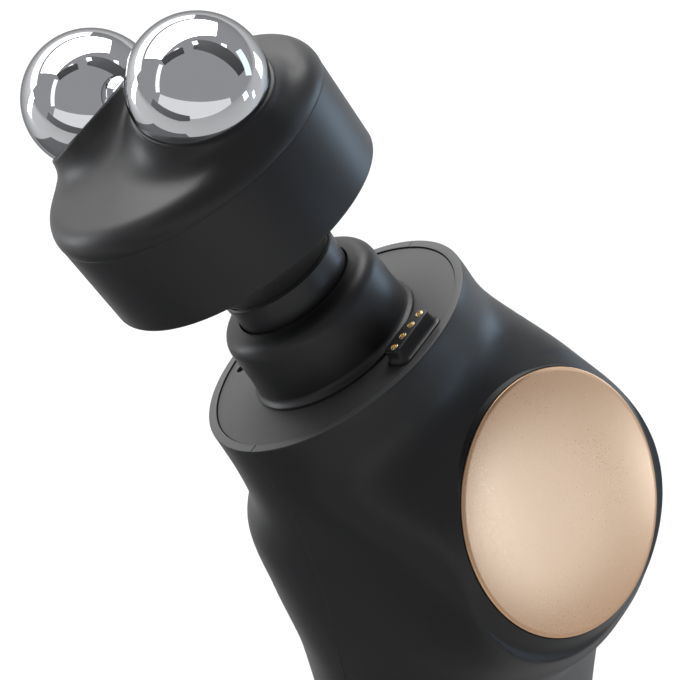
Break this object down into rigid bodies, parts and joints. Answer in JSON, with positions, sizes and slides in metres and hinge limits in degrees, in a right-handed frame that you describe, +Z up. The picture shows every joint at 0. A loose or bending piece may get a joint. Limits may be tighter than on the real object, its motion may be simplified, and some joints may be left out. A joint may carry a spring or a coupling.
{
  "type": "facial toning device",
  "caption": "Hand-held facial toning device: a leaning contoured grip with a percussion neck, a lift-off head with ball electrodes and a round metal warming disc in the back.",
  "frame": {"origin": "centre of the flat resting face under the grip, on the grip axis", "axes": "+Z up the grip, -X the way the neck and head lean (front), +X the side of the warming disc (back), Y across the grip"},
  "size_m": [0.1066, 0.056, 0.1862],
  "materials": {
    "soft_black": "soft-touch satin",
    "moulded_black": "fine moulded grain",
    "deck_grey": "fine satin",
    "button_grey": "satin",
    "rubber": "matt",
    "rose_gold": "bead-blasted and anodised",
    "chrome": "mirror polished",
    "gold": "gold plated",
    "bronze": "sintered bronze",
    "steel": "bright",
    "alloy": "machined",
    "inner_frame": "glass-filled moulding",
    "cell_wrap": "shrink wrap",
    "board": "solder mask",
    "dark_window": "smoked"
  },
  "bodies": {
    "body": {"front_shell": "soft_black", "back_shell": "soft_black", "deck_plate": "deck_grey", "disc": "rose_gold", "disc_gasket": "rubber", "neck_boot": "soft_black", "pin_barrels": "gold", "shaft_seal": "rubber", "guide_bush": "bronze", "drive_frame": "inner_frame", "drive_screws": "steel", "deck_magnets": "steel", "motor": "alloy", "motor_screws": "steel", "motor_damper": "rubber", "battery": "cell_wrap", "battery_cradle": "inner_frame", "main_board": "board", "board_links": "moulded_black", "button_board": "board", "button_switches": "steel", "control_panel": "moulded_black", "display_window": "dark_window", "display_module": "moulded_black", "charge_board": "board", "usb_socket": "steel", "base_cap": "moulded_black", "base_screws": "steel", "foot_pad": "rubber"},
    "head": {"head_housing": "soft_black", "head_cap": "soft_black", "electrode_front": "chrome", "electrode_back": "chrome", "electrode_screws": "steel", "contact_posts": "gold", "head_board": "board", "head_base": "inner_frame", "head_pads": "gold", "head_magnets": "steel", "head_screws": "steel"},
    "plunger": {"percussion_shaft": "moulded_black", "tip_disc": "moulded_black", "wrist_pin": "steel"},
    "rod": {"con_rod": "alloy"},
    "rotor": {"crank": "steel", "crank_roller": "bronze", "motor_shaft": "steel"},
    "contact_1": {"pogo_pin_1": "gold"},
    "contact_2": {"pogo_pin_2": "gold"},
    "contact_3": {"pogo_pin_3": "gold"},
    "contact_4": {"pogo_pin_4": "gold"},
    "power_button_key": {"power_button": "button_grey"},
    "mode_button_key": {"mode_button": "button_grey"},
    "level_button_key": {"level_button": "button_grey"}
  },
  "joints": [
    {"name": "head_lift", "type": "slide", "parent": "body", "child": "head", "axis": [-0.5299, 0, 0.848], "range_m": [-0.0267, 0.01]},
    {"name": "percussion", "type": "slide", "parent": "body", "child": "plunger", "axis": [-0.5299, 0, 0.848], "range_m": [-0.003, 0]},
    {"name": "rod_swing", "type": "hinge", "parent": "plunger", "child": "rod", "pos_m": [-0.00796, 0, 0.11324], "axis": [0.848, 0, 0.5299], "range_deg": [-3.5, 3.5]},
    {"name": "crank_spin", "type": "hinge", "parent": "body", "child": "rotor", "pos_m": [0.0072, 0, 0.08899], "axis": [0.848, 0, 0.5299], "continuous": true},
    {"name": "contact_1_press", "type": "slide", "parent": "body", "child": "contact_1", "axis": [0.5299, 0, -0.848], "range_m": [0, 0.0004], "stiffness_N_per_m": 150},
    {"name": "contact_2_press", "type": "slide", "parent": "body", "child": "contact_2", "axis": [0.5299, 0, -0.848], "range_m": [0, 0.0004], "stiffness_N_per_m": 150},
    {"name": "contact_3_press", "type": "slide", "parent": "body", "child": "contact_3", "axis": [0.5299, 0, -0.848], "range_m": [0, 0.0004], "stiffness_N_per_m": 150},
    {"name": "contact_4_press", "type": "slide", "parent": "body", "child": "contact_4", "axis": [0.5299, 0, -0.848], "range_m": [0, 0.0004], "stiffness_N_per_m": 150},
    {"name": "power_button_press", "type": "slide", "parent": "body", "child": "power_button_key", "axis": [1, 0, 0], "range_m": [0, 0.0006], "stiffness_N_per_m": 400},
    {"name": "mode_button_press", "type": "slide", "parent": "body", "child": "mode_button_key", "axis": [1, 0, 0], "range_m": [0, 0.0006], "stiffness_N_per_m": 400},
    {"name": "level_button_press", "type": "slide", "parent": "body", "child": "level_button_key", "axis": [1, 0, 0], "range_m": [0, 0.0006], "stiffness_N_per_m": 400}
  ]
}
